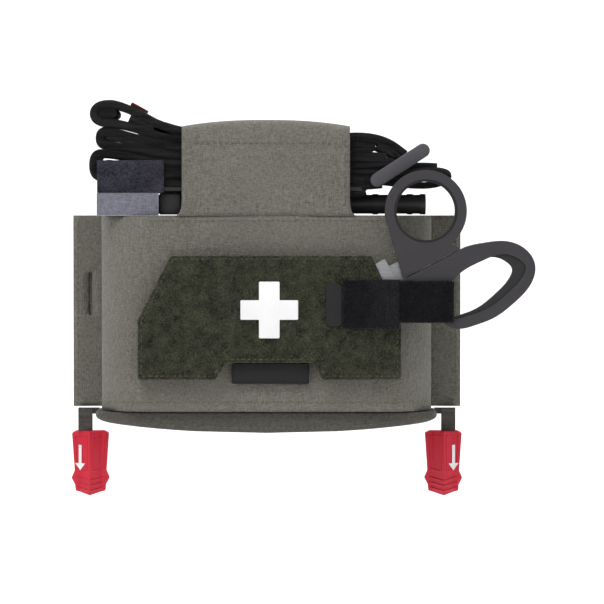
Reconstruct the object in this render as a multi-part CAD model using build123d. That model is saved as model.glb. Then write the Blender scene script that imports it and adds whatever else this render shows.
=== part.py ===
from build123d import *
import math
import os

os.makedirs("parts", exist_ok=True)

# ---------------------------------------------------------------- driving dimensions, mm
# X runs to the wearer's left hand side of the kit, Z up, the back face is Y = 0, front is -Y.
PANEL_HALF = 90.4        # half width of the carrier over its sewn wings
TUBE_HALF = 76.0         # half width of the padded tube between the wings
TOP_Z = 43.5             # top edge of the carrier tube
BOTTOM_Z = -45.5         # bottom edge of the carrier tube
CLOTH = 1.4              # coated nylon with its lining
BACK_FIELD = 1.2         # hook field on the back
BACK_Y = -BACK_FIELD - 1.5
FRONT_Y = -45.0          # front face of the tube
TUBE_R = 22.0            # roundness of the tube's front corners
SLOT_W = 1.8             # laser-cut slot in each wing
SLOT_L = 20.0
FLAP_HALF = 38.2         # half width of the flap over the tourniquet
FLAP_TOP = 85.6
BAND_W = 38.0            # tourniquet band width, which sets the scale
BAND_T = 3.0             # band with the windlass strap inside it
BAND_Y0 = -41.2          # front edge of the folded band
ROD_D = 9.5
ROD_Z = 48.8
ROD_Y = -22.2
RING_R = 18.5            # small finger ring of the shears
BLADE_T = 1.7
PIVOT = (43.0, 8.0)      # shears pivot, X and Z
STRAP_T = 1.8


# ---------------------------------------------------------------- helpers
def block(x0, x1, y0, y1, z0, z1):
    """A box between six planes."""
    size = Box(x1 - x0, y1 - y0, z1 - z0)
    return Pos((x0 + x1) / 2, (y0 + y1) / 2, (z0 + z1) / 2) * size


def upright(sketch, y0, y1):
    """Stand a sketch drawn as X, Z up and give it depth from y0 to y1."""
    solid = Pos(0, 0, -y1) * extrude(sketch, amount=y1 - y0)
    return Rot(90, 0, 0) * solid


def outline(points, r=0.0):
    """A closed face through points, its corners rounded by r."""
    face = make_face(Polyline(*points, close=True))
    if r:
        face = fillet(face.vertices(), r)
    return face


def smooth(points):
    """A closed face bounded by one periodic spline."""
    return make_face(Spline(*points, periodic=True))


def strip(points, thick, r):
    """A ribbon of constant thickness along a rounded path, as a face."""
    return trace(FilletPolyline(*points, radius=r), thick)


def save(shape, node):
    export_step(shape, f"parts/{node}.step")


# ---------------------------------------------------------------- carrier
def tube_face(half, front, radius):
    """The tube's section: square at the back, rounded at the front."""
    face = outline([(-half, BACK_Y), (half, BACK_Y), (half, front), (-half, front)])
    corners = face.vertices().sort_by(Axis.Y)[:2]
    return fillet(corners, radius)


def wing_slots():
    """The cutters of the two laser-cut slots, one in the outer cloth of each wing."""
    slot = SlotOverall(SLOT_L, SLOT_W, rotation=90)
    cutter = upright(slot, -10.0, 1.0)
    return Pos(-82.4, 0, 7.0) * cutter + Pos(82.4, 0, 7.0) * cutter


def back_panel():
    height = TOP_Z - BOTTOM_Z
    face = Pos(0, (TOP_Z + BOTTOM_Z) / 2) * RectangleRounded(2 * PANEL_HALF, height, 3.0)
    return upright(face, BACK_Y, -BACK_FIELD)


def back_field():
    face = RectangleRounded(120.0, 70.0, 4.0)
    return upright(face, -BACK_FIELD, 0)


def front_panel():
    """The outer cloth: one sheet that makes both wings and the tube's front and sides."""
    outer = tube_face(TUBE_HALF, FRONT_Y, TUBE_R)
    inner = tube_face(TUBE_HALF - CLOTH, FRONT_Y + CLOTH, TUBE_R - CLOTH)
    tube = Pos(0, 0, BOTTOM_Z) * extrude(outer - inner, amount=TOP_Z - BOTTOM_Z)
    wing = block(TUBE_HALF - CLOTH, PANEL_HALF, BACK_Y - CLOTH, BACK_Y, BOTTOM_Z, TOP_Z)
    return tube + wing + mirror(wing, Plane.YZ) - wing_slots()


def roof_panel():
    """The shelf that closes the tube's top and carries the tourniquet."""
    inner = tube_face(TUBE_HALF - CLOTH, FRONT_Y + CLOTH, TUBE_R - CLOTH)
    return Pos(0, 0, TOP_Z - CLOTH) * extrude(inner, amount=CLOTH)


def loop_outline():
    left = [(-58.0, -3.5), (-43.0, 25.6), (47.9, 25.6), (61.2, -3.5)]
    right = [(61.2, -30.5), (26.0, -30.5), (21.5, -22.9), (-18.4, -22.9)]
    return left + right + [(-22.8, -30.5), (-58.0, -30.5)]


def loop_field():
    """The raised loop field; the shears' blades slide in behind it."""
    return upright(outline(loop_outline(), 1.6), FRONT_Y - 6.0, FRONT_Y - 4.8)


def pocket_gusset():
    """The folded edge that holds the loop field off the tube on the left and below."""
    whole = outline(loop_outline(), 1.6)
    opening = outline([(-55.6, -4.0), (-42.0, 21.8), (80.0, 21.8), (80.0, -26.5), (26.0, -26.5),
                       (23.0, -20.5), (-19.9, -20.5), (-24.0, -27.9), (-55.6, -27.9)])
    top_gap = Pos(0, 30) * Rectangle(300, 16.4)
    return upright(whole - opening - top_gap, FRONT_Y - 4.8, FRONT_Y)


def cross_patch():
    bar = Pos(1.6, 1.1) * RectangleRounded(26.2, 8.9, 0.6)
    post = Pos(1.6, 1.1) * RectangleRounded(9.4, 25.7, 0.6)
    return upright(bar + post, FRONT_Y - 7.2, FRONT_Y - 6.0)


def label_tag():
    face = Pos(2.0, -28.0) * RectangleRounded(35.2, 9.6, 1.0)
    return upright(face, FRONT_Y - 2.4, FRONT_Y)


def rear_tongue():
    """The cloth tongue behind the tourniquet, turned forward over it."""
    leg = block(-FLAP_HALF + 0.6, FLAP_HALF - 0.6, BACK_Y, -BACK_FIELD, TOP_Z, FLAP_TOP - 2.1)
    lip = block(-FLAP_HALF + 0.6, FLAP_HALF - 0.6, -15.0, BACK_Y, FLAP_TOP - 3.5, FLAP_TOP - 2.1)
    return leg + lip


def strap_anchor():
    """The fixed end of the shears strap: sewn to the tube, out through the big loop."""
    path = [(62.5, FRONT_Y + 5.6), (74.0, FRONT_Y - 0.4), (84.2, FRONT_Y - 0.4),
            (84.2, FRONT_Y - 10.9)]
    band = Pos(0, 0, 0.6) * extrude(strip(path, 1.3, 1.2), amount=10.4)
    tube = Pos(0, 0, -10.0) * extrude(tube_face(TUBE_HALF, FRONT_Y, TUBE_R), amount=40.0)
    return band - tube


# ---------------------------------------------------------------- flap
def flap_front():
    """The front leg of the flap with its two rounded shoulders at the tube's edge."""
    leg = block(-FLAP_HALF, FLAP_HALF, FRONT_Y, FRONT_Y + CLOTH, TOP_Z + 0.35, FLAP_TOP - CLOTH)
    return leg


def flap_top():
    """The top of the flap, from the front edge to the back."""
    sheet = block(-FLAP_HALF, FLAP_HALF, FRONT_Y, -BACK_FIELD, FLAP_TOP - CLOTH + 0.05, FLAP_TOP)
    long_edges = sheet.edges().filter_by(Axis.X).group_by(Axis.Z)[-1]
    return fillet(long_edges, 0.9)


def flap_hook_patch():
    """The hook strip under the flap's back edge."""
    z1 = FLAP_TOP - CLOTH + 0.05
    return block(-34.0, 34.0, -14.0, -2.0, z1 - 0.4, z1)


# ---------------------------------------------------------------- insert and pulls
def insert_body():
    """The stuffed pouch that drops out of the tube."""
    face = tube_face(72.0, FRONT_Y + 3.4, TUBE_R - 3.4)
    face = face - Pos(0, BACK_Y) * Rectangle(300, 2.6)
    return Pos(0, 0, -46.0) * extrude(face, amount=86.0)


def insert_rim():
    """The wide bound bottom of the insert, curved below."""
    arc = ThreePointArc((-78.2, -50.8), (0, -55.6), (78.2, -50.8))
    edge = Polyline((78.2, -50.8), (78.2, -46.0), (-78.2, -46.0), (-78.2, -50.8))
    return upright(make_face(arc + edge), FRONT_Y + 3.4, BACK_Y - 1.3)


def pull_webbing(side):
    x = side * 84.6
    return block(x - 3.3, x + 3.3, -8.2, -6.4, -56.8, -46.3)


def pull_anchor(side):
    """The bar tack tab that joins the pull's webbing to the insert's rim."""
    tab = block(78.2, 87.9, -6.3, -4.1, -49.0, -46.2)
    return tab if side > 0 else mirror(tab, Plane.YZ)


def pull_grip(side):
    """A moulded grip with a ridge down its middle and a ribbed pointed tip."""
    half = [(0, -56.8), (6.4, -56.8), (8.6, -57.9), (7.4, -75.6), (8.9, -78.9), (7.2, -82.2),
            (7.0, -85.0), (0, -86.8)]
    points = [(side * 82.4 + x, z) for x, z in half]
    points = points + [(side * 82.4 - x, z) for x, z in reversed(half[1:-1])]
    body = upright(outline(points), -12.6, -2.0)
    lean = extrude(make_face(Polyline((-9.2, -2.0), (0, -12.6), (9.2, -2.0), close=True)), 40.0)
    wedge = Pos(side * 82.4, 0, -90.0) * lean
    return body & (wedge + block(side * 82.4 - 9.2, side * 82.4 + 9.2, -6.6, -2.0, -90, -50))


def pull_mark(side):
    """A plain raised arrow on the grip's face, pointing the way it is pulled."""
    x = side * 87.1
    shaft = Pos(x, -68.0) * Rectangle(1.4, 9.0)
    head = outline([(x - 2.4, -72.0), (x + 2.4, -72.0), (x, -75.4)])
    raised = upright(shaft + head, -13.0, -5.0)
    grip = pull_grip(side)
    return (raised & (Pos(0, -0.5, 0) * grip)) - grip


# ---------------------------------------------------------------- shears strap
def shear_strap():
    """The moving strap, from its fold at the big loop to the loop field."""
    path = [(85.0, FRONT_Y - 12.0), (61.0, FRONT_Y - 12.0), (52.0, FRONT_Y - 7.3),
            (34.6, FRONT_Y - 7.3)]
    band = extrude(strip(path, STRAP_T, 2.5), amount=19.0)
    wide = Pos(0, 0, -4.5) * band
    return wide + block(34.6, 48.0, FRONT_Y - 8.2, FRONT_Y - 6.4, -7.6, -4.5)


def strap_tab():
    face = Pos(30.9, 3.3) * RectangleRounded(7.4, 19.4, 2.0)
    return upright(face, FRONT_Y - 7.9, FRONT_Y - 6.5)


# ---------------------------------------------------------------- tourniquet
def band_path():
    """The long band's folds, from the free end over the top down to the buckle."""
    top = [(63.6, 71.8), (56.0, 77.6), (46.0, 80.2), (34.0, 79.8), (-39.5, 79.8), (-66.0, 94.4),
           (-76.0, 94.4), (-79.0, 90.0), (-76.0, 85.8), (-66.0, 85.8), (-40.0, 76.4)]
    second = [(49.0, 76.4), (49.0, 73.0), (-40.0, 73.0), (-70.0, 82.2),
              (-75.6, 82.2), (-75.6, 75.7), (-70.0, 75.7), (-40.0, 69.6)]
    third = [(58.4, 69.6), (58.4, 66.2), (-40.0, 66.2), (-72.0, 72.0),
             (-78.6, 72.0), (-78.6, 61.4), (-72.0, 61.4), (-40.0, 62.8)]
    last = [(60.0, 62.8), (72.0, 64.6), (83.0, 63.8), (83.0, 59.9), (76.0, 57.4), (66.0, 57.4),
            (52.0, 59.4), (36.5, 59.4)]
    return top + second + third + last


def tourniquet_band():
    face = strip(band_path(), BAND_T, 1.65)
    return upright(face, BAND_Y0, BAND_Y0 + BAND_W)


def inner_fold(points, thick):
    """A shorter lap of band lying inside one of the folds."""
    return upright(strip(points, thick, 1.3), BAND_Y0 + 0.6, BAND_Y0 + BAND_W - 0.6)


def inner_fold_top():
    roll = Pos(-72.0, 90.2) * SlotOverall(8.4, 4.6)
    return upright(roll, BAND_Y0 + 0.6, BAND_Y0 + BAND_W - 0.6)


def inner_fold_middle():
    return inner_fold([(-60.5, 76.6), (-69.5, 78.95), (-72.8, 78.95)], 2.0)


def inner_fold_low():
    return inner_fold([(-55.0, 65.3), (-61.0, 66.35), (-71.8, 68.1), (-75.4, 66.4),
                       (-71.8, 64.6), (-66.5, 64.6)], 2.3)


def band_tip():
    """The stitched doubled end that lies on the top fold."""
    top = outline([(-56.2, 89.7), (-54.9, 92.0), (-61.0, 95.4), (-62.3, 93.1)])
    solid = upright(top, BAND_Y0 + 2.0, BAND_Y0 + BAND_W - 2.0)
    return solid - tourniquet_band()


def stabilization_plate():
    face = Pos(-13.0, -22.2) * RectangleRounded(118.0, 36.0, 4.0)
    return Pos(0, 0, 55.0) * extrude(face, amount=1.6)


def inner_band():
    """The windlass band: out of the plate's slot and through the rod's eye."""
    lower = block(-66.0, 44.0, -38.2, -6.2, 53.8, 55.0)
    return lower


def windlass_clip():
    """The C clip under the plate that keeps the rod."""
    outer = block(-48.6, -38.9, ROD_Y - 15.8, ROD_Y + 15.8, 44.1, 53.8)
    channel = block(-60.0, -30.0, ROD_Y - 7.2, ROD_Y + 7.2, 40.0, 53.8)
    arms = outer - channel
    roof = block(-48.6, -38.9, ROD_Y - 15.8, ROD_Y + 15.8, 53.6, 53.8)
    return arms + roof


def windlass_rod():
    """The turned rod with collars near its right end, grooves and rounded ends."""
    rod = Cylinder(ROD_D / 2 - 0.35, 150.0)
    rod = fillet(rod.edges(), 1.2)
    for x in (50.2, 66.0, 72.0):
        rod = rod + Pos(0, 0, x + 1.6) * Cylinder(ROD_D / 2, 2.6)
    for x in (-50.0, -44.0, -58.0):
        rod = rod - Pos(0, 0, x) * (Cylinder(ROD_D / 2, 0.8) - Cylinder(ROD_D / 2 - 0.9, 0.8))
    rod = Pos(-1.6, ROD_Y, ROD_Z) * (Rot(0, 90, 0) * rod)
    return rod


def tourniquet_buckle():
    """The two-bar slider in which the band is routed."""
    frame = Pos(24.0, -22.2) * RectangleRounded(20.0, 37.6, 2.5)
    for x in (19.4, 28.6):
        frame = frame - Pos(x, -22.2) * RectangleRounded(5.2, 31.0, 1.0)
    return Pos(0, 0, 57.2) * extrude(frame, amount=3.6)


def time_strap_hook():
    return block(-76.8, -46.4, -43.1, -41.6, 54.2, 68.9)


def time_strap_tag():
    return block(-77.0, -48.8, -42.8, -41.6, 43.9, 54.2)


def pull_tab():
    """The smooth moulded tab at the band's free end."""
    tab = Pos(61.0, 66.6) * SlotOverall(31.0, 6.4, rotation=33.0)
    return upright(tab, -43.1, -41.2)


# ---------------------------------------------------------------- shears
def blade_upper():
    points = [(-32.0, -6.0), (6.0, 10.0), (38.0, 17.0), (49.4, 21.6), (53.9, 24.4), (57.4, 17.6),
              (61.8, 13.0), (61.8, 1.0), (45.0, 0.4), (-31.0, -8.6)]
    return upright(outline(points, 0.8), FRONT_Y - 4.3, FRONT_Y - 2.55)


def blade_lower():
    points = [(-33.0, -9.6), (-32.0, -7.4), (5.0, 2.0), (40.0, 15.0), (50.0, 18.0), (66.0, 26.0),
              (69.0, 20.4), (56.0, 9.0), (46.0, 0.0), (20.0, -6.4)]
    return upright(outline(points, 0.8), FRONT_Y - 2.2, FRONT_Y - 0.5)


def pivot_rivet():
    rivet = Pos(*PIVOT) * Circle(3.2)
    return upright(rivet, FRONT_Y - 4.6, FRONT_Y - 4.3)


def ring_face():
    return Pos(72.3, 45.9) * Circle(RING_R)


def handle_small():
    shank = outline([(55.6, 38.0), (58.6, 28.0), (61.9, 15.6), (88.4, 29.2), (82.0, 31.4),
                     (74.0, 32.0)], 0.6)
    face = ring_face() + shank - Pos(72.3, 45.9) * Circle(RING_R - 4.2)
    return upright(face, FRONT_Y - 10.0, FRONT_Y - 2.2)


def ring_liner():
    face = Pos(72.3, 45.9) * (Circle(RING_R - 4.2) - Circle(RING_R - 5.3))
    return upright(face, FRONT_Y - 9.0, FRONT_Y - 3.2)


def loop_inner():
    return smooth([(79.5, 4.0), (83.0, 12.6), (89.1, 18.8), (97.3, 23.2), (108.2, 26.4),
                   (114.1, 24.3), (117.3, 20.7), (115.9, 16.2), (110.0, 9.5), (100.5, 2.0),
                   (90.9, -1.7), (83.5, -2.4)])


def handle_large():
    loop = smooth([(78.0, 14.0), (88.6, 29.0), (100.0, 31.8), (108.9, 32.3), (115.9, 29.8),
                   (120.9, 24.1), (121.8, 20.2), (119.1, 11.8), (112.1, 4.3), (103.6, -2.1),
                   (94.1, -5.9), (87.7, -7.3), (80.0, -4.5)])
    shank = outline([(61.8, 14.8), (89.0, 28.6), (94.0, 10.0), (84.0, -5.0), (61.8, -1.6)], 0.5)
    above = outline([(40.0, 3.9), (110.0, 39.8), (60.0, 70.0)])
    face = loop + shank - loop_inner() - above
    return upright(face, FRONT_Y - 10.0, FRONT_Y - 2.5)


def loop_liner():
    inner = loop_inner()
    face = inner - (Pos(101.9, 12.0) * scale(Pos(-101.9, -12.0) * inner, by=0.95))
    return upright(face, FRONT_Y - 9.0, FRONT_Y - 3.4)


SHAPES = {
    "back_panel": back_panel(), "back_hook_field": back_field(), "front_panel": front_panel(),
    "roof_panel": roof_panel(), "loop_field": loop_field(), "pocket_gusset": pocket_gusset(),
    "cross_patch": cross_patch(), "label_tag": label_tag(), "rear_tongue": rear_tongue(),
    "strap_anchor": strap_anchor(), "flap_front": flap_front(), "flap_top": flap_top(),
    "flap_hook_patch": flap_hook_patch(), "insert_body": insert_body(),
    "insert_rim": insert_rim(), "shear_strap": shear_strap(), "strap_tab": strap_tab(),
    "tourniquet_band": tourniquet_band(), "tourniquet_band_tip": band_tip(),
    "tourniquet_inner_fold_top": inner_fold_top(),
    "tourniquet_inner_fold_middle": inner_fold_middle(),
    "tourniquet_inner_fold_low": inner_fold_low(), "tourniquet_plate": stabilization_plate(), "tourniquet_inner_band": inner_band(),
    "windlass_clip": windlass_clip(), "windlass_rod": windlass_rod(),
    "tourniquet_buckle": tourniquet_buckle(), "time_strap_hook": time_strap_hook(),
    "time_strap_tag": time_strap_tag(), "tourniquet_pull_tab": pull_tab(),
    "blade_upper": blade_upper(), "blade_lower": blade_lower(), "pivot_rivet": pivot_rivet(),
    "handle_small_ring": handle_small(), "small_ring_liner": ring_liner(),
    "handle_large_loop": handle_large(), "large_loop_liner": loop_liner(),
}

for node, shape in SHAPES.items():
    save(shape, node)

for name, side in (("left", -1), ("right", 1)):
    save(pull_webbing(side), f"pull_webbing_{name}")
    save(pull_anchor(side), f"pull_anchor_{name}")
    save(pull_grip(side), f"pull_grip_{name}")
    save(pull_mark(side), f"pull_mark_{name}")
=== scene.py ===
# %% [markdown]
# # Windlass tourniquet in a cloth carrier
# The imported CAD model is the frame: it says where every part is and which body it rides on.
# Hard parts keep their CAD shape and get a finish. Cloth, webbing and hook-and-loop are made
# again here as surfaces, because cloth is never quite flat and a solid can't show its weave.

import math

import bmesh
import bpy
import numpy as np
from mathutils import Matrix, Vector


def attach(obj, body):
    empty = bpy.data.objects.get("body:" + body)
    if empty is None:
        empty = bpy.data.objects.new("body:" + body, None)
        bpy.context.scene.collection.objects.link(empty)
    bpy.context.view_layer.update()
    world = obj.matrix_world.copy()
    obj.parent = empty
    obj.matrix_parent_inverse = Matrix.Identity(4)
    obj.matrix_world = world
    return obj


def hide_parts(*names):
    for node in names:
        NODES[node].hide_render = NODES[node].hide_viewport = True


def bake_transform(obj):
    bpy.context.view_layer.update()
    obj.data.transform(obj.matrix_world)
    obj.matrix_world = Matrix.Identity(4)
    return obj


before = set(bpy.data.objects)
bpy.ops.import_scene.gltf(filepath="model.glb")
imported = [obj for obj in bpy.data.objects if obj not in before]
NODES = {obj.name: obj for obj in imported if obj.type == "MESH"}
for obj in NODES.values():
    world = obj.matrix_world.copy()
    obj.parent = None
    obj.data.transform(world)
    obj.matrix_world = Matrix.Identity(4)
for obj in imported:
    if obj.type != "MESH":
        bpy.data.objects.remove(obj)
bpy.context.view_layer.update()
MM = 0.001

# %% [markdown]
# ## Shader maths in Python
# A finish is a sum of patterns. Wiring each Math node by hand hides the formula, so a small class
# wraps a socket and lets `0.5 + 0.2 * weave` add the nodes.


# %% A socket with operators
class Wire:
    """A node socket that can be used in + - * / expressions."""

    def __init__(self, tree, socket):
        self.tree = tree
        self.socket = socket

    def math(self, operation, a, b=None):
        node = self.tree.nodes.new("ShaderNodeMath")
        node.operation = operation
        for slot, value in zip(node.inputs, (a, b)):
            if isinstance(value, Wire):
                self.tree.links.new(value.socket, slot)
            elif value is not None:
                slot.default_value = value
        return Wire(self.tree, node.outputs[0])

    def __add__(self, other):
        return self.math("ADD", self, other)

    def __radd__(self, other):
        return self.math("ADD", other, self)

    def __sub__(self, other):
        return self.math("SUBTRACT", self, other)

    def __rsub__(self, other):
        return self.math("SUBTRACT", other, self)

    def __mul__(self, other):
        return self.math("MULTIPLY", self, other)

    def __rmul__(self, other):
        return self.math("MULTIPLY", other, self)

    def sine(self):
        return self.math("SINE", self)


# %% [markdown]
# Every material starts the same way: a shader with its even values set, and the object's own
# coordinates, so that a pattern keeps its real size in metres whatever the piece is.


# %% A finish under construction
class Finish:
    """One material: its tree, its shader, and short ways to add nodes to it."""

    def __init__(self, name, **sockets):
        self.material = bpy.data.materials.new(name)
        self.material.use_nodes = True
        self.tree = self.material.node_tree
        self.shader = self.tree.nodes["Principled BSDF"]
        self.put(self.shader, sockets)
        coords = self.tree.nodes.new("ShaderNodeTexCoord")
        self.place = Wire(self.tree, coords.outputs["Object"])

    def put(self, node, sockets):
        for key, value in sockets.items():
            slot = node.inputs[key.replace("_", " ") if isinstance(key, str) else key]
            if isinstance(value, Wire):
                self.tree.links.new(value.socket, slot)
            else:
                slot.default_value = value

    def node(self, kind, settings=None, out=0, **sockets):
        made = self.tree.nodes.new("ShaderNode" + kind)
        for key, value in (settings or {}).items():
            setattr(made, key, value)
        self.put(made, sockets)
        return Wire(self.tree, made.outputs[out])

    def stretched(self, x, y, z):
        """Object coordinates in metres, scaled per axis."""
        return self.node("Mapping", Vector=self.place, Scale=(x, y, z))

    def noise(self, vector, scale=1.0, detail=2.0):
        return self.node("TexNoise", Vector=vector, Scale=scale, Detail=detail)

    def blend(self, amount, dark, light):
        """A colour between two, by a number from 0 to 1."""
        made = self.tree.nodes.new("ShaderNodeMix")
        made.data_type = "RGBA"
        self.tree.links.new(amount.socket, made.inputs[0])
        made.inputs[6].default_value = (*dark, 1)
        made.inputs[7].default_value = (*light, 1)
        return Wire(self.tree, made.outputs[2])

    def bump(self, height, depth, strength=1.0):
        made = self.node("Bump", Height=height, Distance=depth, Strength=strength)
        self.put(self.shader, {"Normal": made})


# %% [markdown]
# ## The carrier's cloth
# The carrier is coated nylon in a plain weave. Close to, one sees short thick and thin stretches
# of yarn both ways, and over the panel a slow change of tone. Two noises stretched along the
# warp and the weft give the yarn, and a broad one gives the tone.


# %% Cloth and webbing finishes
def woven(name, dark, light, rough=0.85, yarn=1.0, sheen=0.12):
    """Plain weave: noise drawn out along X plus noise drawn out along Z, and a broad tone."""
    cloth = Finish(name, Roughness=rough, Sheen_Weight=sheen, Sheen_Roughness=0.6)
    weft = cloth.noise(cloth.stretched(520 * yarn, 1300 * yarn, 3200 * yarn), detail=1.0)
    warp = cloth.noise(cloth.stretched(3200 * yarn, 1300 * yarn, 520 * yarn), detail=1.0)
    tone = cloth.noise(cloth.place, scale=26.0, detail=3.0)
    grain = weft * 0.5 + warp * 0.5
    amount = grain * 2.6 + tone * 0.35 - 0.98
    cloth.put(cloth.shader, {"Base Color": cloth.blend(amount, dark, light)})
    cloth.bump(grain, 0.0012)
    return cloth.material


def ribbed(name, dark, light, pitch=1.3, rough=0.8, gloss=0.5):
    """Webbing: sine ribs across Y and along X + Z, fine noise, and streaks drawn out along X."""
    web = Finish(name, Roughness=rough, Sheen_Weight=0.03, Specular_IOR_Level=gloss)
    split = web.tree.nodes.new("ShaderNodeSeparateXYZ")
    web.tree.links.new(web.place.socket, split.inputs[0])
    x, y, z = (Wire(web.tree, out) for out in split.outputs)
    wave = 2 * math.pi / (pitch * MM)
    ribs = ((x + z) * wave).sine() * 0.25 + (y * wave).sine() * 0.25 + 0.5
    fuzz = web.noise(web.place, scale=900.0, detail=3.0)
    streak = web.noise(web.stretched(45.0, 700.0, 700.0), detail=3.0)
    tone = ribs * 0.4 + fuzz * 0.6 + streak * 1.3 - 0.75
    web.put(web.shader, {"Base Color": web.blend(tone, dark, light)})
    web.bump(ribs * 0.7 + fuzz * 0.6, 0.0007)
    return web.material


def pile(name, dark, light, size, depth):
    """Hook or loop face: small cells with a noise between them, matt and deep."""
    felt = Finish(name, Roughness=0.95, Sheen_Weight=0.08)
    felt.shader.inputs["Specular IOR Level"].default_value = 0.2
    cell = felt.node("TexVoronoi", Vector=felt.place, Scale=1.0 / (size * MM))
    fuzz = felt.noise(felt.place, scale=1600.0, detail=4.0)
    clump = felt.noise(felt.place, scale=220.0, detail=3.0)
    mix = fuzz * 1.1 + clump * 0.9 + cell * -0.4 - 0.45
    felt.put(felt.shader, {"Base Color": felt.blend(mix, dark, light)})
    felt.bump(fuzz * 0.6 + clump * 0.7 - cell * 0.5, depth * MM)
    return felt.material


OLIVE = woven("carrier_cloth_weave", (0.078, 0.074, 0.058), (0.222, 0.212, 0.176))
# The insert's cloth is the carrier's weave made darker: painted shade, because the insert's bottom
# lies in shade under the pouch.
SHADED_OLIVE = woven("insert_cloth_painted_shade", (0.030, 0.028, 0.022), (0.105, 0.098, 0.080))
LOOP = pile("loop_pile_olive", (0.010, 0.011, 0.006), (0.120, 0.125, 0.078), 1.1, 1.6)
HOOK = pile("hook_tape_black", (0.001, 0.001, 0.002), (0.013, 0.012, 0.016), 0.9, 1.2)
NAVY_HOOK = pile("hook_tape_navy", (0.004, 0.004, 0.007), (0.070, 0.068, 0.098), 1.0, 1.2)
BAND = ribbed("band_webbing_black", (0.0005, 0.0005, 0.0005), (0.026, 0.025, 0.027), gloss=0.12)
BAND_RED = ribbed("band_tip_red", (0.004, 0.003, 0.003), (0.110, 0.010, 0.014), 2.6, gloss=0.2)
TAG = woven("tag_webbing_grey", (0.100, 0.100, 0.135), (0.220, 0.220, 0.270), yarn=0.8)
PULL_WEB = ribbed("pull_webbing_olive", (0.035, 0.032, 0.027), (0.120, 0.110, 0.095), pitch=0.9)

# %% [markdown]
# ## Moulded and metal finishes
# Moulded grips are not glassy: the tool's grain breaks the highlight, so a fine noise moves the
# roughness and a faint bump. The blades show the lengthwise lines of grinding.


# %% Plastic, rubber and steel
def moulded(name, colour, rough, grain=0.00004, coat=0.0):
    """Plastic with a fine tool grain: noise on roughness, tone and bump."""
    skin = Finish(name, Coat_Weight=coat, Coat_Roughness=0.25)
    fine = skin.noise(skin.place, scale=1500.0, detail=2.0)
    broad = skin.noise(skin.place, scale=45.0, detail=3.0)
    dark = tuple(0.82 * c for c in colour)
    light = tuple(min(1.0, 1.15 * c) for c in colour)
    skin.put(skin.shader, {
        "Base Color": skin.blend(broad * 0.8 + fine * 0.2, dark, light),
        "Roughness": fine * 0.14 + (rough - 0.07) + broad * 0.06,
    })
    skin.bump(fine, grain)
    return skin.material


def ground_steel(name):
    """Stainless ground along its length: noise drawn out along X on roughness and bump."""
    steel = Finish(name, Metallic=1.0)
    lines = steel.noise(steel.stretched(60.0, 900.0, 3000.0), detail=3.0)
    steel.put(steel.shader, {
        "Base Color": steel.blend(lines, (0.32, 0.32, 0.34), (0.60, 0.60, 0.62)),
        "Roughness": lines * 0.25 + 0.18,
    })
    steel.bump(lines, 0.00003)
    return steel.material


BLACK_PLASTIC = moulded("black_nylon_plastic", (0.016, 0.016, 0.017), 0.42)
GREY_GRIP = moulded("grey_grip_plastic", (0.026, 0.023, 0.028), 0.5)
TAB_GREY = moulded("grey_tab_plastic", (0.062, 0.058, 0.068), 0.55)
ROD_BLACK = moulded("rod_plastic", (0.045, 0.045, 0.046), 0.36)
LINER = moulded("dark_liner_rubber", (0.008, 0.008, 0.009), 0.6)
LABEL = moulded("label_rubber_black", (0.004, 0.004, 0.0045), 0.75)
WHITE = moulded("white_moulded_rubber", (0.84, 0.84, 0.84), 0.5)
RED = moulded("red_moulded_rubber", (0.56, 0.006, 0.030), 0.5)
STEEL = ground_steel("blade_steel")
THREAD = woven("sewing_thread", (0.070, 0.067, 0.053), (0.15, 0.143, 0.118), yarn=0.5)
print("finishes", len(bpy.data.materials))

# %% [markdown]
# ## Surfaces on grids
# Every cloth piece is a grid of points worked out as one array. A sheet is an open grid that the
# Solidify modifier gives a thickness; a strap is a closed section carried along a path.


# %% From arrays to objects
def finish_piece(obj, material, body):
    """Give a piece its material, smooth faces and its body."""
    obj.data.materials.append(material)
    obj.data.polygons.foreach_set("use_smooth", np.ones(len(obj.data.polygons), bool))
    if body:
        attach(obj, body)
    return obj


def from_arrays(name, points, faces):
    mesh = bpy.data.meshes.new(name)
    mesh.from_pydata(np.asarray(points).reshape(-1, 3).tolist(), [], faces)
    mesh.validate()
    obj = bpy.data.objects.new(name, mesh)
    bpy.context.scene.collection.objects.link(obj)
    return obj


def quads(rows, cols, wrap=False):
    """Index quads of a rows by cols grid; with wrap the last column joins the first."""
    index = np.arange(rows * cols).reshape(rows, cols)
    if wrap:
        index = np.hstack([index, index[:, :1]])
    corners = [index[:-1, :-1], index[1:, :-1], index[1:, 1:], index[:-1, 1:]]
    return np.stack(corners, -1).reshape(-1, 4)


def cloth_grid(name, points, thick, holes=None, inward=1.0):
    """An open grid of points in metres with a Solidify modifier; holes masks whole cells."""
    rows, cols = points.shape[:2]
    cells = quads(rows, cols)
    if holes is not None:
        cells = cells[~holes.reshape(-1)]
    obj = from_arrays(name, points, cells.tolist())
    solid = obj.modifiers.new("thickness", "SOLIDIFY")
    solid.thickness = thick * MM
    solid.offset = inward
    return obj


def swept(name, rings):
    """A closed section carried along a path: rings is (stations, section points, 3)."""
    rows, cols = rings.shape[:2]
    faces = quads(rows, cols, wrap=True)[:, ::-1].tolist()
    faces.append(list(range(cols)))
    faces.append(list(range((rows - 1) * cols, rows * cols))[::-1])
    obj = from_arrays(name, rings, faces)
    outward(obj)
    return obj


def outward(obj):
    """Turn all faces outwards."""
    work = bmesh.new()
    work.from_mesh(obj.data)
    bmesh.ops.recalc_face_normals(work, faces=work.faces)
    work.to_mesh(obj.data)
    work.free()


def eased(path, rounds=3):
    """Corner cutting: each round puts points at 1/4 and 3/4 of every run."""
    path = np.asarray(path, float)
    for _ in range(rounds):
        near = 0.75 * path[:-1] + 0.25 * path[1:]
        far = 0.25 * path[:-1] + 0.75 * path[1:]
        inner = np.stack([near, far], 1).reshape(-1, path.shape[1])
        path = np.vstack([path[:1], inner, path[-1:]])
    return path


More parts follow.
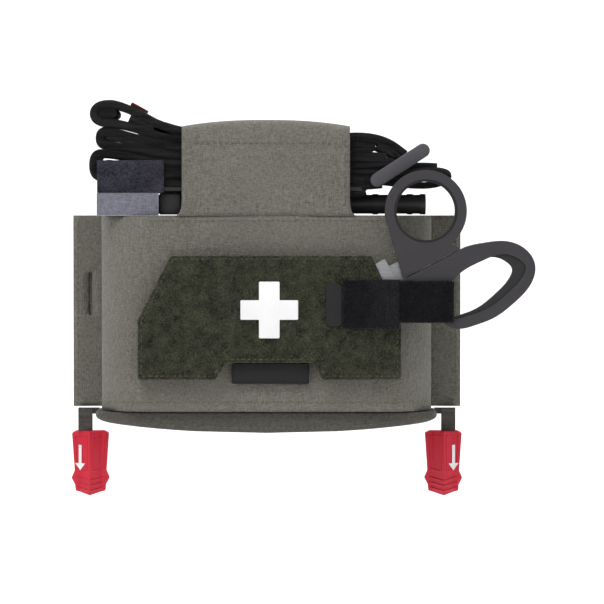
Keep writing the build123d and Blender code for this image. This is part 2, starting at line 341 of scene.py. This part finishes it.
def even(path, step):
    """The path read again at even steps along its length."""
    run = np.r_[0, np.cumsum(np.linalg.norm(np.diff(path, axis=0), axis=1))]
    at = np.linspace(0, run[-1], max(2, int(run[-1] / step)))
    return np.stack([np.interp(at, run, path[:, k]) for k in range(path.shape[1])], 1), run[-1]


def soft_noise(u, v, seed, scale):
    """A sum of six slow sine waves with seeded directions and phases, from -1 to 1."""
    local = np.random.default_rng(seed)
    angle = local.uniform(0, 2 * np.pi, 6)
    phase = local.uniform(0, 2 * np.pi, 6)
    rate = local.uniform(0.5, 1.6, 6) * 2 * np.pi / scale
    across = u[..., None] * np.cos(angle) + v[..., None] * np.sin(angle)
    return np.sin(across * rate + phase).mean(-1)


def wide(a, b, count):
    return np.linspace(a, b, count)


# %% [markdown]
# ## Stitching
# A lockstitch shows as a row of short rounded dashes sunk a little in the cloth. Each dash is a
# small spindle of three five-sided rings, copied along the seam with one broadcast.


# %% Rows of stitches
SPINDLE = np.array([[t, r * math.cos(a), r * math.sin(a)] for t, r in
                    ((-1.0, 0.25), (-0.6, 1.0), (0.6, 1.0), (1.0, 0.25))
                    for a in np.arange(5) * 2 * math.pi / 5])
SPINDLE_FACES = quads(4, 5, wrap=True)


def stitch_row(name, path, normal, body, pitch=2.6, dash=0.9, wide_r=0.2, material=None):
    """Dashes along a path in mm; each spindle is dash long each way and lies on the cloth."""
    points, _ = even(np.asarray(path, float), pitch)
    along = np.diff(points, axis=0)
    along /= np.linalg.norm(along, axis=1)[:, None]
    centre = (points[:-1] + points[1:]) / 2
    up = np.broadcast_to(np.asarray(normal, float), along.shape)
    side = np.cross(along, up)
    body_points = (centre[:, None] + SPINDLE[None, :, :1] * dash * along[:, None]
                   + SPINDLE[None, :, 1:2] * wide_r * side[:, None]
                   + SPINDLE[None, :, 2:] * wide_r * up[:, None])
    shift = (np.arange(len(centre)) * len(SPINDLE))[:, None, None]
    faces = (SPINDLE_FACES[None] + shift).reshape(-1, 4)
    ends = np.array([[0, 1, 2, 3, 4], [19, 18, 17, 16, 15]])[None] + shift
    obj = from_arrays(name, body_points * MM, faces.tolist() + ends.reshape(-1, 5).tolist())
    outward(obj)
    return finish_piece(obj, material or THREAD, body)


# %% [markdown]
# ## Front panel with its wings
# One cut of cloth makes the left wing, the side, the front, the other side and the right wing.
# Its section is a path in plan; the height is the other way of the grid. The stuffed insert makes
# the front swell a little, and slow waves run over it. The laser-cut slot in each wing is a cell
# left out of the grid, so its edges are real.


# %% Front panel
HALF, TUBE, TOP, LOW, BACK, FRONT, ROUND = 90.4, 76.0, 43.5, -45.5, -2.7, -45.0, 22.0
WING_Y = BACK - 1.4
SLOT, SLOT_LOW, SLOT_HIGH = -82.4, -3.0, 17.0


def panel_section():
    """Plan path of the outer cloth, left wing to right wing, as X, Y in mm."""
    turn = np.linspace(0, np.pi / 2, 14)
    left = np.stack([-TUBE + ROUND - ROUND * np.cos(turn), FRONT + ROUND - ROUND * np.sin(turn)], 1)
    side = np.stack([np.full(8, -TUBE), wide(WING_Y, FRONT + ROUND, 8)], 1)[1:-1]
    wing_x = np.r_[-HALF, -87.0, SLOT - 0.9, SLOT + 0.9, -TUBE - 0.6, -TUBE]
    wing = np.stack([wing_x, np.full(6, WING_Y)], 1)
    front = np.stack([wide(-TUBE + ROUND, 0, 20), np.full(20, FRONT)], 1)[1:]
    half = np.vstack([wing, side, left, front])
    return np.vstack([half, half[:-1][::-1] * [-1, 1]])


section = panel_section()
heights = np.unique(np.r_[wide(LOW, TOP, 37), SLOT_LOW, SLOT_HIGH])
X, Z = np.meshgrid(section[:, 0], heights, indexing="ij")
middle_x = (X[:-1, :-1] + X[1:, :-1]) / 2
middle_z = (Z[:-1, :-1] + Z[:-1, 1:]) / 2
in_height = (middle_z > SLOT_LOW) & (middle_z < SLOT_HIGH)
slot_cells = (np.abs(np.abs(middle_x) + SLOT) < 0.7) & in_height


def waved(x, y, z):
    """The outer cloth's Y: slow waves grow towards the front, and the wings belly forward."""
    front = np.clip((-y - 8) / 30, 0, 1) * (0.5 + 0.5 * soft_noise(x, z, 3, 90.0))
    wing = np.clip((np.abs(x) - TUBE) / 12, 0, 1) * 0.9 * (1 + soft_noise(x * 0, z, 5, 60.0))
    return y + front - wing


Y = waved(X, np.repeat(section[:, 1:], len(heights), 1), Z)
wing_ness = np.clip((np.abs(X) - TUBE) / 12, 0, 1)
X = X - np.sign(X) * wing_ness * 0.3 * (1 + soft_noise(X * 0, Z, 6, 80.0))
panel = cloth_grid("front_panel_cloth", np.stack([X, Y, Z], -1) * MM, 1.4, slot_cells, inward=-1.0)
finish_piece(panel, OLIVE, "carrier")
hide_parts("front_panel")

# %% [markdown]
# ## Back panel
# The back is a flat sheet without slots; it is the side that sits on a belt.

# %% Back panel
across = np.r_[-HALF, -83.0, wide(-76, 76, 31), 83.0, HALF]
X, Z = np.meshgrid(across, heights, indexing="ij")
Y = -1.25 - 0.12 * (1 + soft_noise(X, Z, 8, 70.0))
back = cloth_grid("back_panel_cloth", np.stack([X, Y, Z], -1) * MM, 1.3, inward=1.0)
finish_piece(back, OLIVE, "carrier")
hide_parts("back_panel")

# %% [markdown]
# The carrier's seams run down the wings, along the hem and under the flap, and lie on the waved
# cloth.


# %% Seams of the carrier
def on_panel(x, y, z):
    """Points 0.1 mm in front of the waved outer cloth; x, y and z broadcast to one length."""
    x, y, z = np.broadcast_arrays(np.asarray(x, float), y, z)
    return np.column_stack([x, waved(x, y, z) - 0.1, z])


upright_run = wide(LOW + 4, TOP - 3, 40)
for side, label in ((-1, "left"), (1, "right")):
    inner_seam = on_panel(side * 77.4, WING_Y, upright_run)
    stitch_row(f"wing_seam_{label}", inner_seam, (0, -1, 0), "carrier")
    outer_seam = on_panel(side * 88.2, WING_Y, upright_run)
    stitch_row(f"wing_edge_seam_{label}", outer_seam, (0, -1, 0), "carrier")
    seam = [(side * 88.4, -1.15, LOW + 3), (side * 88.4, -1.15, TOP - 3)]
    stitch_row(f"back_seam_{label}", seam, (0, 1, 0), "carrier")
front_half = section[(section[:, 1] < -30)]
hem = on_panel(front_half[:, 0], front_half[:, 1], LOW + 4.2)
stitch_row("front_hem_seam", hem, (0, -1, 0), "carrier")
top_seam = on_panel(wide(-52, 52, 40), FRONT, TOP - 2.0)
stitch_row("front_top_seam", top_seam, (0, -1, 0), "carrier")
print("carrier seams done")

# %% [markdown]
# ## Flap
# The flap is one strip: up the front of the tourniquet and over its top. It is a little crowned,
# its top corners are eased, and at the foot it spreads into small fillets.

# %% Flap
FLAP, FLAP_TOP, FLAP_BEND = 38.2, 85.6, 4.0
FLAP_Y = FRONT + 0.2
rise = np.stack([np.full(22, FLAP_Y), wide(TOP + 0.1, FLAP_TOP - FLAP_BEND, 22)], 1)
turn = np.linspace(0, np.pi / 2, 9)[1:]
bend_y = FLAP_Y + FLAP_BEND - FLAP_BEND * np.cos(turn)
bend = np.stack([bend_y, FLAP_TOP - FLAP_BEND + FLAP_BEND * np.sin(turn)], 1)
over = np.stack([wide(FLAP_Y + FLAP_BEND, -1.3, 20), np.full(20, FLAP_TOP)], 1)[1:]
strip_path, strip_run = even(np.vstack([rise, bend, over]), 1.8)
u = wide(-1, 1, 41)
U, S = np.meshgrid(u, np.arange(len(strip_path)), indexing="ij")
Y = strip_path[S, 0]
Z = strip_path[S, 1]
foot = np.exp(-np.clip(Z - TOP, 0, None) / 1.8) * (Y < FRONT + 1)
X = U * (FLAP + 2.6 * foot)
crown = 1 - np.abs(U) ** 2.4
rear = np.clip((-Y - 4) / 14, 0.15, 1)
corner_drop = 1.2 * (1 - crown) * (Z > FLAP_TOP - 6)
Z = Z + 1.7 * crown * rear * np.clip((Z - 60) / 25, 0, 1) - corner_drop
belly = 0.5 * crown * np.clip((Z - TOP) / 12, 0, 1) * (Z < FLAP_TOP - 3)
Y = Y - belly + 0.25 * soft_noise(X, Z, 11, 40.0)
flap = cloth_grid("flap_cloth", np.stack([X, Y, Z], -1) * MM, 1.3, inward=-1.0)
finish_piece(flap, OLIVE, None)
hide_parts("flap_front", "flap_top")
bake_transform(flap)
for label, half, y, z in (("top", 33, FRONT - 0.35, 76.6), ("foot", 35, FRONT + 0.1, TOP + 1.4)):
    stitch_row(f"flap_{label}_seam", [(-half, y, z), (half, y, z)], (0, -1, 0), "flap")
for side, label in ((-1, "left"), (1, "right")):
    edge = [(side * 36.0, FRONT + 0.05, TOP + 4), (side * 36.0, FRONT + 0.05, 79)]
    stitch_row(f"flap_edge_seam_{label}", edge, (0, -1, 0), "flap")
print("flap strip", round(strip_run), "mm long")

# %% [markdown]
# ## Loop field, strap and hook tapes
# A loop field is a felt of tiny curled fibres. Thousands of short bent fibres stand on the sheet,
# each a two-quad blade, all made in one array.


# %% Fibres that stand on a surface
def fuzz_on(name, base, normal, count, length, width, seed, body, material):
    """Short bent fibres on points base(count) mm: root, middle and tip, each with a width."""
    local = np.random.default_rng(seed)
    root = base(local, count)
    normal = np.asarray(normal, float)
    lean = local.normal(0, 1, (count, 3))
    lean -= (lean @ normal)[:, None] * normal
    lean /= np.linalg.norm(lean, axis=1)[:, None]
    side = np.cross(lean, normal) * width / 2
    tall = local.uniform(0.5, 1.0, (count, 1)) * length
    mid = root + normal * tall * 0.8 + lean * tall * 0.3
    tip = root + normal * tall * 0.55 + lean * tall * 1.1
    points = np.stack([root - side, root + side, mid - side, mid + side, tip - side, tip + side], 1)
    shift = (np.arange(count) * 6)[:, None, None]
    faces = (np.array([[0, 1, 3, 2], [2, 3, 5, 4]])[None] + shift).reshape(-1, 4)
    obj = from_arrays(name, points * MM, faces.tolist())
    return finish_piece(obj, material, body)


def inside(points, polygon):
    """True where X, Z points are in a polygon: the edges crossed to the right are odd in number."""
    x, z = points[:, :1], points[:, 1:]
    a = np.asarray(polygon, float)
    b = np.roll(a, -1, 0)
    crosses = (a[:, 1] > z) != (b[:, 1] > z)
    rise_z = np.where(b[:, 1] == a[:, 1], 1e-9, b[:, 1] - a[:, 1])
    at = (b[:, 0] - a[:, 0]) * (z - a[:, 1]) / rise_z + a[:, 0]
    return (crosses & (x < at)).sum(1) % 2 == 1


FIELD = [(-58.0, -3.5), (-43.0, 25.6), (47.9, 25.6), (61.2, -3.5), (61.2, -30.5), (26.0, -30.5),
         (21.5, -22.9), (-18.4, -22.9), (-22.8, -30.5), (-58.0, -30.5)]
FIELD_Y = FRONT - 6.0


def on_field(local, count):
    (x0, z0), (x1, z1) = np.min(FIELD, axis=0), np.max(FIELD, axis=0)
    pool = np.column_stack([local.uniform(x0, x1, count * 2), local.uniform(z0, z1, count * 2)])
    kept = pool[inside(pool, FIELD)][:count]
    while len(kept) < count:
        kept = np.vstack([kept, kept[:count - len(kept)]])
    return np.column_stack([kept[:, 0], np.full(count, FIELD_Y), kept[:, 1]])


fuzz_on("loop_field_fibres", on_field, (0, -1, 0), 26000, 0.7, 0.16, 21,
        "carrier", LOOP)


def on_back(local, count):
    """Hooks stand in rows 1.2 mm apart across the back field."""
    x = np.round(local.uniform(-58, 58, count) / 1.2) * 1.2
    z = np.round(local.uniform(-33.5, 33.5, count) / 1.5) * 1.5
    return np.column_stack([x, np.full(count, -0.75), z])


fuzz_on("back_field_hooks", on_back, (0, 1, 0), 6000, 0.7, 0.3, 23,
        "carrier", HOOK)
rim_line = np.array([(-56.4, -3.8), (-42.0, 24.2), (46.9, 24.2), (59.6, -3.8), (59.6, -28.9),
                     (27.0, -28.9), (22.5, -21.3), (-19.4, -21.3), (-23.8, -28.9),
                     (-56.4, -28.9), (-56.4, -3.8)])
for k, (a, b) in enumerate(zip(rim_line[:-1], rim_line[1:])):
    if k != 2:  # the pocket's mouth at the right is left open
        line = [(a[0], FIELD_Y - 0.12, a[1]), (b[0], FIELD_Y - 0.12, b[1])]
        stitch_row(f"field_seam_{k}", line, (0, -1, 0), "carrier", pitch=2.4)
print("loop fibres done")

# %% [markdown]
# ## Tourniquet band
# The band is one long piece of 38 mm webbing, folded into a stack. Its path is a line with the
# folds as corners; corner cutting rounds them. The section is a flat rounded rectangle, and each
# lap is shifted a little sideways, as hands leave it.


# %% Straps along a path
def strap(name, path, y0, y1, thick, step=1.2, stagger=0.0, waver=0.0, swell=0.0):
    """A strap whose path lies in X, Z and whose width runs along Y from y0 to y1, all in mm."""
    line, length = even(eased(path), step)
    ahead = np.gradient(line, axis=0)
    ahead /= np.linalg.norm(ahead, axis=1)[:, None]
    off = np.stack([-ahead[:, 1], ahead[:, 0]], 1)
    r = thick / 2
    width = np.r_[y0, y0 + r * 0.6, wide(y0 + 4, y1 - 4, 7), y1 - r * 0.6, y1]
    lift = np.r_[0.45, 1.0, np.ones(7), 1.0, 0.45] * r
    sec_y = np.r_[width, width[::-1]]
    loose = 1 + swell * np.clip((-line[:, :1] - 30) / 14, 0, 1)
    sec_n = np.r_[lift, -lift[::-1]] * loose
    s = np.arange(len(line)) * step
    shift = stagger * np.sin(s * 2 * np.pi / 97.0 + 1.0) + waver * np.sin(s * 2 * np.pi / 23.0)
    px = line[:, :1] + off[:, :1] * sec_n
    pz = line[:, 1:] + off[:, 1:] * sec_n
    py = sec_y[None] + shift[:, None]
    return swept(name, np.stack([px, py, pz], -1) * MM), length


BAND_PATH = [(63.6, 71.8), (56.0, 77.6), (46.0, 80.2), (34.0, 79.8), (-39.5, 79.8), (-66.0, 94.4),
             (-76.0, 94.4), (-79.0, 90.0), (-76.0, 85.8), (-66.0, 85.8), (-40.0, 76.4),
             (49.0, 76.4), (49.0, 73.0), (-40.0, 73.0), (-70.0, 82.2),
             (-75.6, 82.2), (-75.6, 75.7), (-70.0, 75.7), (-40.0, 69.6),
             (58.4, 69.6), (58.4, 66.2), (-40.0, 66.2), (-72.0, 72.0),
             (-78.6, 72.0), (-78.6, 61.4), (-72.0, 61.4), (-40.0, 62.8),
             (60.0, 62.8), (72.0, 64.6), (83.0, 63.8), (83.0, 59.9), (76.0, 57.4), (66.0, 57.4),
             (52.0, 59.4), (36.5, 59.4)]
band, band_run = strap("tourniquet_band_webbing", BAND_PATH, -40.9, -3.5, 3.1, step=0.8,
                       stagger=0.25, swell=0.28)
finish_piece(band, BAND, "tourniquet")
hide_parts("tourniquet_band")
print("band length", round(band_run), "mm")

# %% [markdown]
# Shorter lengths of the same webbing lie between the laps and close the stack. Each has a path in
# X, Z and a thickness, all in mm.

# %% Loose laps
INNER_LAPS = {
    "middle": ([(-43.0, 71.9), (-50.0, 73.9), (-60.5, 76.7), (-69.5, 78.9), (-73.0, 78.9)], 1.3),
    "top": ([(-37.0, 78.1), (-50.0, 82.6), (-58.5, 86.6), (-62.0, 88.2)], 2.3),
    "arch": ([(34.0, 78.3), (47.0, 78.6), (55.0, 75.4), (61.5, 69.4)], 2.4),
    "between": ([(33.0, 71.3), (45.0, 71.6), (55.0, 70.9)], 2.6),
    "right": ([(33.0, 64.5), (52.0, 64.4), (60.0, 65.6), (70.0, 66.9), (78.0, 66.4)], 2.4),
    "right_low": ([(33.0, 61.0), (52.0, 61.0), (62.0, 60.8), (72.0, 61.4)], 2.6),
    "crook": ([(50.6, 75.0), (54.5, 73.6), (59.5, 70.4)], 3.4),
    "under_right": ([(36.5, 56.6), (46.0, 56.9), (53.0, 57.6)], 3.0),
    "keeper": ([(33.0, 53.2), (41.0, 53.4), (45.5, 54.6)], 3.6),
    "low": ([(-36.5, 64.5), (-46.0, 65.0), (-58.0, 65.8), (-69.0, 66.6)], 2.4),
    "base": ([(-36.0, 58.3), (-50.0, 58.4), (-64.0, 58.5)], 3.2),
    "fan_top": ([(-38.0, 78.6), (-44.0, 80.6), (-51.0, 83.6)], 2.0),
    "fan_middle": ([(-38.0, 74.9), (-48.0, 78.4), (-58.0, 81.6)], 1.5),
}
for label, (path, thick) in INNER_LAPS.items():
    lap, lap_run = strap(f"tourniquet_loose_lap_{label}", path, -40.0, -4.4, thick, swell=0.8)
    if label == "middle":
        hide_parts("tourniquet_inner_fold_middle")
    finish_piece(lap, BAND, "tourniquet")

# %% [markdown]
# ## Shears strap
# The strap that holds the shears comes out through the large finger loop, lies over the handles
# and steps down onto the loop field. It is a thick hook-and-loop tape with frayed fibres.


# %% Straps that run round in plan
def plan_strap(name, path, z0, z1, thick, step=1.0):
    """A strap whose path lies in X, Y and whose width runs along Z from z0 to z1, in mm."""
    line, length = even(eased(path), step)
    ahead = np.gradient(line, axis=0)
    ahead /= np.linalg.norm(ahead, axis=1)[:, None]
    off = np.stack([-ahead[:, 1], ahead[:, 0]], 1)
    r = thick / 2
    width = np.r_[z0, z0 + r * 0.6, wide(z0 + 2, z1 - 2, 7), z1 - r * 0.6, z1]
    lift = np.r_[0.35, 1.0, np.ones(7), 1.0, 0.35] * r
    sec_z = np.r_[width, width[::-1]]
    sec_n = np.r_[lift, -lift[::-1]]
    px = line[:, :1] + off[:, :1] * sec_n
    py = line[:, 1:] + off[:, 1:] * sec_n
    pz = np.broadcast_to(sec_z, px.shape)
    return swept(name, np.stack([px, py, pz], -1) * MM), length


OVER_HANDLES, ON_FIELD = FRONT - 12.0, FRONT - 7.3
strap_path = [(84.9, OVER_HANDLES), (74.0, OVER_HANDLES - 0.2), (61.0, OVER_HANDLES),
              (52.0, ON_FIELD), (34.6, ON_FIELD)]
tape, tape_run = plan_strap("shear_strap_tape", strap_path, -4.5, 14.4, 1.7)
finish_piece(tape, HOOK, "strap")
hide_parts("shear_strap")
pad_path = [(60.6, OVER_HANDLES), (51.8, ON_FIELD - 0.1), (34.8, ON_FIELD - 0.1)]
pad, pad_run = plan_strap("shear_strap_pad", pad_path, -7.4, 14.9, 2.1)
finish_piece(pad, HOOK, "strap")


def on_tape(local, count):
    x = local.uniform(35.0, 84.0, count)
    y = np.interp(x, [35, 52, 61, 89], [FRONT - 8.3, FRONT - 8.3, FRONT - 12.9, FRONT - 12.9])
    low = np.where(x < 60, -7.2, -4.3)
    return np.column_stack([x, y, low + local.uniform(0, 1, count) * (14.6 - low)])


fuzz_on("shear_strap_fibres", on_tape, (0, -1, 0), 7000, 0.6, 0.15, 22, "strap", HOOK)
print("strap", round(tape_run), "mm")

# %% [markdown]
# ## Insert
# The insert is a stuffed cloth bag that drops out of the tube. Only its bottom shows in use. It is
# one closed shell: each level is a rounded rectangle, and it swells between its seams.


# %% Insert as a padded shell
def rounded_ring(half_x, y0, y1, power, count=72):
    """One level of the bag: a superellipse |x/a|^p + |y/b|^p = 1 as X, Y in mm."""
    t = np.arange(count) * 2 * np.pi / count
    c, s = np.cos(t), np.sin(t)
    x = half_x * np.sign(c) * np.abs(c) ** (2 / power)
    y = (y0 + y1) / 2 + (y1 - y0) / 2 * np.sign(s) * np.abs(s) ** (2 / power)
    return x, y


levels = np.r_[wide(40, 38, 3), wide(36, -44, 21), wide(-45, -46, 2)]
rings = []
for z in levels:
    pinch = 1 - 0.05 * math.exp(-(40 - z) / 2.0) - 0.02 * math.exp(-(z + 46) / 3.0)
    x, y = rounded_ring(71.8 * pinch, -22.8 - 18.6 * pinch, -22.8 + 18.4 * pinch, 5.0)
    rings.append(np.stack([x, y, np.full_like(x, z)], 1))
bag = swept("insert_bag", np.array(rings) * MM)
# Painted shade: the bag gets the darkened copy of the carrier cloth.
finish_piece(bag, SHADED_OLIVE, "insert")
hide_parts("insert_body")

RIM_LOW = -55.5
t = wide(0, 1, 12)
rings = []
for k in t:
    x, y = rounded_ring(78.0, -41.4, -4.1, 7.0, 120)
    depth = RIM_LOW + 4.8 * (np.abs(x) / 78.2) ** 2.2
    z = -46.1 + k * (depth + 46.1)
    tuck = 1 - 0.05 * k ** 4
    swell = 1 + 0.006 * math.sin(math.pi * k)
    rings.append(np.stack([x * tuck * swell, -22.7 + (y + 22.7) * tuck, z], 1))
rim = swept("insert_rim_cloth", np.array(rings) * MM)
# Painted shade: the rim that shows below the pouch gets the darkened cloth too.
finish_piece(rim, SHADED_OLIVE, "insert")
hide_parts("insert_rim")
seam_x = wide(-70, 70, 80)
seam_y = -22.7 - 18.4 * (1 - (np.abs(seam_x) / 76.9) ** 7) ** (1 / 7)
seam_z = RIM_LOW + 2.3 + 4.8 * (np.abs(seam_x) / 78.2) ** 2.2
stitches = np.stack([seam_x, seam_y, seam_z], 1)
stitch_row("insert_rim_seam", stitches, (0, -1, 0), "insert")
print("insert done")


# %% [markdown]
# ## Moulded parts with eased edges
# Moulded handles and pulls have no sharp edges. The CAD node's triangles are copied, merged and
# given a Bevel modifier that only takes the sharp edges, and the copy stands for the node.


# %% Eased copies of CAD nodes
def eased_copy(node, material, body, radius, segments=3, angle=32.0):
    """A merged copy of a CAD node's mesh with its sharp edges rounded by radius mm."""
    source = NODES[node]
    mesh = source.data.copy()
    mesh.materials.clear()
    work = bmesh.new()
    work.from_mesh(mesh)
    bmesh.ops.remove_doubles(work, verts=work.verts, dist=1e-6)
    flat_angle = math.radians(1.0)
    bmesh.ops.dissolve_limit(work, angle_limit=flat_angle, verts=work.verts, edges=work.edges)
    work.to_mesh(mesh)
    work.free()
    obj = bpy.data.objects.new(node + "_moulded", mesh)
    bpy.context.scene.collection.objects.link(obj)
    bevel = obj.modifiers.new("eased edges", "BEVEL")
    bevel.width = radius * MM
    bevel.segments = segments
    bevel.limit_method = "ANGLE"
    bevel.angle_limit = math.radians(angle)
    bevel.harden_normals = False
    finish_piece(obj, material, body)
    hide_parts(node)
    return obj


def bead(name, path, radius, body, material, sides=8):
    """A thin raised bead of radius mm along a 3-D path in mm, square to the path all the way."""
    line, _ = even(np.asarray(path, float), 0.5)
    ahead = np.gradient(line, axis=0)
    ahead /= np.linalg.norm(ahead, axis=1)[:, None]
    first = np.cross(ahead, (0.31, 0.9, 0.27))
    first /= np.linalg.norm(first, axis=1)[:, None]
    second = np.cross(ahead, first)
    a = np.arange(sides) * 2 * np.pi / sides
    rings = (line[:, None] + radius * np.cos(a)[None, :, None] * first[:, None]
             + radius * np.sin(a)[None, :, None] * second[:, None])
    return finish_piece(swept(name, rings * MM), material, body)


eased_copy("handle_small_ring", GREY_GRIP, "shears_lever", 1.7, 4)
eased_copy("handle_large_loop", GREY_GRIP, "carrier", 1.7, 4)
for side in ("left", "right"):
    eased_copy(f"pull_grip_{side}", RED, f"pull_{side}", 0.6)
GRIP_X, RIDGE_Y, FLANK_Y = 82.4, -12.6, -6.6


def on_grip(side, dx, z):
    """A point on the grip's front: the ridge falls away to the flat flanks."""
    y = min(RIDGE_Y + 1.152 * abs(dx), FLANK_Y)
    return (side * GRIP_X + dx, y, z)


for side, label in ((-1, "left"), (1, "right")):
    for k, z in enumerate((-78.4, -80.8, -83.2)):
        chevron = [on_grip(side, dx, z - 1.5 + 0.2 * abs(dx)) for dx in wide(-6.6, 6.6, 23)]
        bead(f"grip_rib_{label}_{k}", chevron, 0.42, f"pull_{label}", RED)
    for half, flank in ((-1, "a"), (1, "b")):
        corners = [(1.3, -59.0), (1.3, -75.6), (6.3, -74.4), (7.2, -59.4), (1.3, -59.0)]
        frame_line = [on_grip(side, half * x, z) for x, z in
                      even(np.array(corners, float), 0.5)[0]]
        bead(f"grip_frame_{label}_{flank}", frame_line, 0.32, f"pull_{label}", RED)
LABEL_Y = FRONT - 2.4
label_line = [(2.0 + x, LABEL_Y, -28.0 + z) for x, z in
              ((-17.0, -4.2), (17.0, -4.2), (17.0, 4.2), (-17.0, 4.2), (-17.0, -4.2))]
bead("label_rim", label_line, 0.3, "carrier", LABEL)
eased_copy("cross_patch", WHITE, "carrier", 0.35, 2)
eased_copy("label_tag", LABEL, "carrier", 0.5, 2)
eased_copy("tourniquet_pull_tab", TAB_GREY, "tourniquet", 0.5, 2)
field = eased_copy("loop_field", LOOP, "carrier", 0.4, 2)
eased_copy("strap_tab", LABEL, "strap", 0.4, 2)
time_hook = eased_copy("time_strap_hook", NAVY_HOOK, "time_strap", 0.4, 2)
time_tag = eased_copy("time_strap_tag", TAG, "time_strap", 0.3, 2)
eased_copy("tourniquet_band_tip", BAND_RED, "tourniquet", 0.4, 2)
tongue = eased_copy("rear_tongue", OLIVE, "carrier", 0.5, 2)
for part in ("top", "low"):
    eased_copy(f"tourniquet_inner_fold_{part}", BAND, "tourniquet", 0.4, 2)
eased_copy("windlass_clip", BLACK_PLASTIC, "tourniquet", 0.5, 2)
eased_copy("tourniquet_buckle", BLACK_PLASTIC, "tourniquet", 0.5, 2)

# %% [markdown]
# The other nodes keep their CAD shape and only change their finish.

# %% Finishes on the CAD nodes that stay
STAY = {
    "back_hook_field": HOOK, "roof_panel": OLIVE, "pocket_gusset": OLIVE,
    "strap_anchor": HOOK, "flap_hook_patch": HOOK, "tourniquet_plate": BLACK_PLASTIC,
    "tourniquet_inner_band": BAND, "windlass_rod": ROD_BLACK, "blade_upper": STEEL,
    "blade_lower": STEEL, "pivot_rivet": STEEL, "small_ring_liner": LINER,
    "large_loop_liner": LINER, "pull_anchor_left": PULL_WEB, "pull_anchor_right": PULL_WEB,
    "pull_webbing_left": PULL_WEB, "pull_webbing_right": PULL_WEB,
    "pull_mark_left": WHITE, "pull_mark_right": WHITE,
}
for node, material in STAY.items():
    for place in NODES[node].material_slots:
        place.material = material
print("kept nodes", len(STAY))

# %% [markdown]
# ## Light, floor and camera
# A pale sweep stands behind and below. One large soft light from above on the left models the
# folds, a weaker one fills from the right, and the pale world keeps the shadows open.

# %% Stage
turn = np.linspace(0, np.pi / 2, 16)
SWEEP_Y, SWEEP_Z, SWEEP_R = 1.2, 0.65, 1.0
curve = np.stack([SWEEP_Y + SWEEP_R * np.sin(turn), SWEEP_Z - SWEEP_R * np.cos(turn)], 1)
back_line = np.vstack([[-3.0, SWEEP_Z - SWEEP_R], curve, [SWEEP_Y + SWEEP_R, 4.0]])
X, S = np.meshgrid(wide(-4, 4, 2), np.arange(len(back_line)), indexing="ij")
sweep_points = np.stack([X, back_line[S, 0], back_line[S, 1]], -1)
sweep = from_arrays("studio_sweep", sweep_points, quads(*X.shape).tolist())
sweep.data.polygons.foreach_set("use_smooth", np.ones(len(sweep.data.polygons), bool))
paper = Finish("studio_paper", Roughness=0.9, Base_Color=(0.92, 0.92, 0.92, 1))
sweep.data.materials.append(paper.material)

world = bpy.data.worlds.new("studio_world")
world.use_nodes = True
world.node_tree.nodes["Background"].inputs[0].default_value = (1, 1, 1, 1)
world.node_tree.nodes["Background"].inputs[1].default_value = 0.52
bpy.context.scene.world = world
bpy.context.scene.view_settings.view_transform = "Standard"


def soft_light(name, place, target, size, power):
    """A square area light at place that faces target, in metres and watts."""
    data = bpy.data.lights.new(name, "AREA")
    data.size = size
    data.energy = power
    obj = bpy.data.objects.new(name, data)
    obj.location = place
    aim = np.asarray(target, float) - np.asarray(place, float)
    obj.rotation_euler = Vector(aim).to_track_quat("-Z", "Y").to_euler()
    bpy.context.scene.collection.objects.link(obj)
    return obj


soft_light("key_light", (-0.6, -1.0, 1.4), (0, 0, 0), 0.8, 19)
soft_light("fill_light", (1.2, -1.2, 0.5), (0, 0, 0), 1.2, 4)
soft_light("paper_light", (0, 1.5, 2.6), (0, 2.2, 0.6), 2.4, 75)

camera_data = bpy.data.cameras.new("front_camera")
DISTANCE = 1.5
SENSOR, VIEW_WIDTH = 36.0, 0.2745
camera_data.lens = SENSOR * DISTANCE / VIEW_WIDTH
camera = bpy.data.objects.new("front_camera", camera_data)
CENTRE = (0.0164, -0.045, 0.0045)
TILT = math.radians(2.0)
camera.location = (CENTRE[0], CENTRE[1] - DISTANCE * math.cos(TILT),
                   CENTRE[2] + DISTANCE * math.sin(TILT))
camera.rotation_euler = (math.pi / 2 - TILT, 0, 0)
bpy.context.scene.collection.objects.link(camera)
bpy.context.scene.camera = camera
